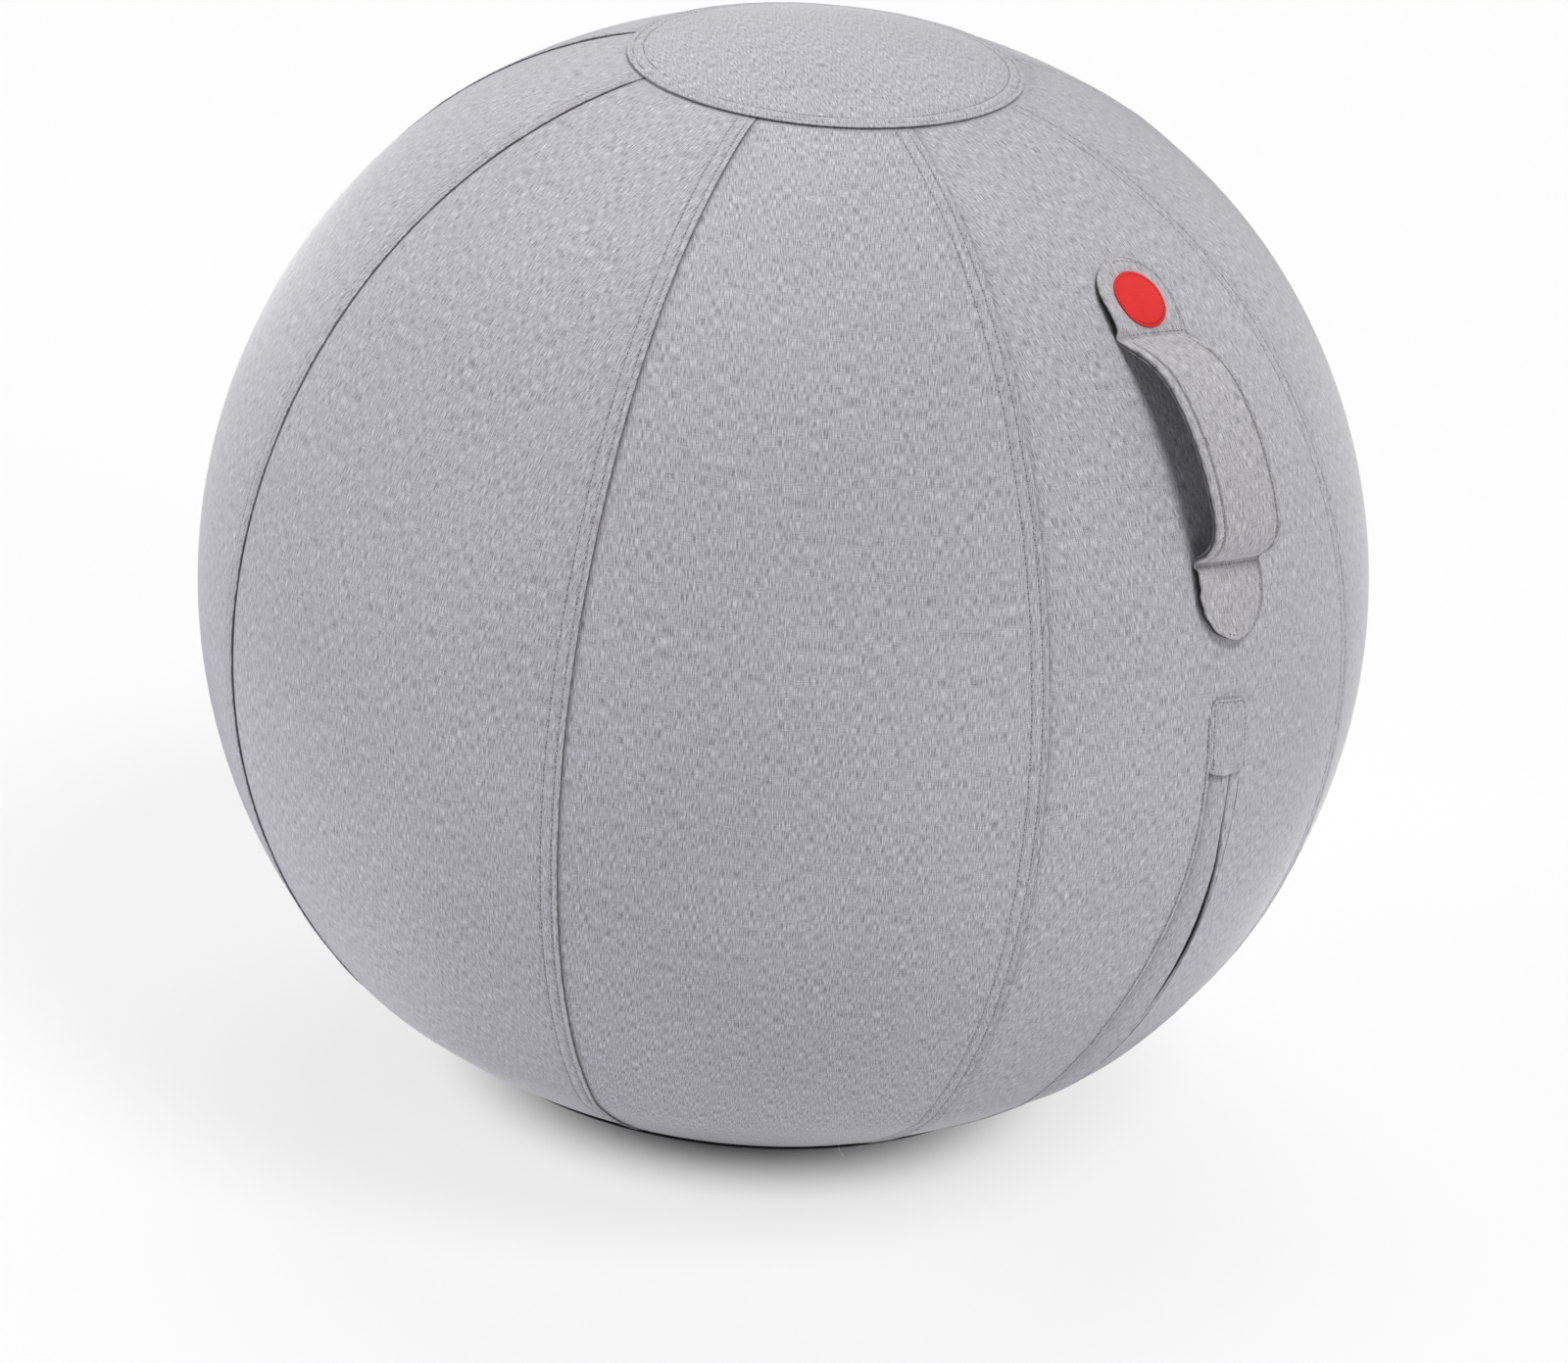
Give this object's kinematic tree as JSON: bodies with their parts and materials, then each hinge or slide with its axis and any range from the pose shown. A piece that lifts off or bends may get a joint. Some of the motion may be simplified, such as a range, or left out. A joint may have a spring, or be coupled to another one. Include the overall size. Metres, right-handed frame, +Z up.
{
  "type": "sitting ball",
  "caption": "Inflated sitting ball in a light-grey sewn fabric cover with a round top cap, dark anti-slip base, strap handle with a red badge, and a zip under a placket.",
  "frame": {"origin": "middle of the flat foot, on the floor", "axes": "+Z up, -Y out through the gore that carries the handle and the zip"},
  "size_m": [0.65, 0.6519, 0.6144],
  "materials": {
    "cover": "light-grey heathered woven fabric",
    "base": "dark anti-slip coating, matte",
    "strap": "light-grey heathered woven fabric, folded and topstitched",
    "strap_core": "webbing strip",
    "badge": "plain red, stitched border",
    "placket": "light-grey heathered woven fabric",
    "zip_tape": "grey woven tape",
    "zip_teeth": "moulded grey teeth",
    "zip_metal": "grey enamel",
    "bladder": "smooth matte vinyl",
    "valve": "smooth moulded"
  },
  "bodies": {
    "cover": {"gore_front": "cover", "gore_front_right": "cover", "gore_right": "cover", "gore_back_right": "cover", "gore_back": "cover", "gore_back_left": "cover", "gore_left": "cover", "gore_front_left": "cover", "top_cap": "cover", "base_cap": "base", "handle_upper_end": "strap", "handle_lower_end": "strap", "badge": "badge", "zip_fly": "placket", "zip_lip": "placket", "zip_backing_left": "placket", "zip_backing_right": "placket", "zip_garage": "placket", "zip_tape_left": "zip_tape", "zip_tape_right": "zip_tape", "zip_teeth_left": "zip_teeth", "zip_teeth_right": "zip_teeth", "zip_top_stops": "zip_teeth", "zip_bottom_stop": "zip_teeth", "bladder": "bladder", "valve_seat": "valve", "valve_plug": "valve"},
    "handle": {"handle_loop": "strap", "handle_core": "strap_core"},
    "zip_slider": {"zip_slider": "zip_metal"},
    "zip_pull": {"zip_pull": "zip_metal"}
  },
  "joints": [
    {"name": "handle_swing", "type": "hinge", "parent": "cover", "child": "handle", "pos_m": [0, -0.24076, 0.51602], "axis": [0, -0.5204, -0.8539], "range_deg": [-15, 15], "stiffness_Nm_per_rad": 0.05},
    {"name": "zip_slide", "type": "hinge", "parent": "cover", "child": "zip_slider", "pos_m": [0, 0, 0.29816], "axis": [1, 0, 0], "range_deg": [0, 40.4], "deforming": ["zip_teeth_left", "zip_teeth_right"]},
    {"name": "pull_swing", "type": "hinge", "parent": "zip_slider", "child": "zip_pull", "pos_m": [-0.0096, -0.31974, 0.31331], "axis": [0.9996, -0.03, 0.0009], "range_deg": [0, 5]}
  ]
}
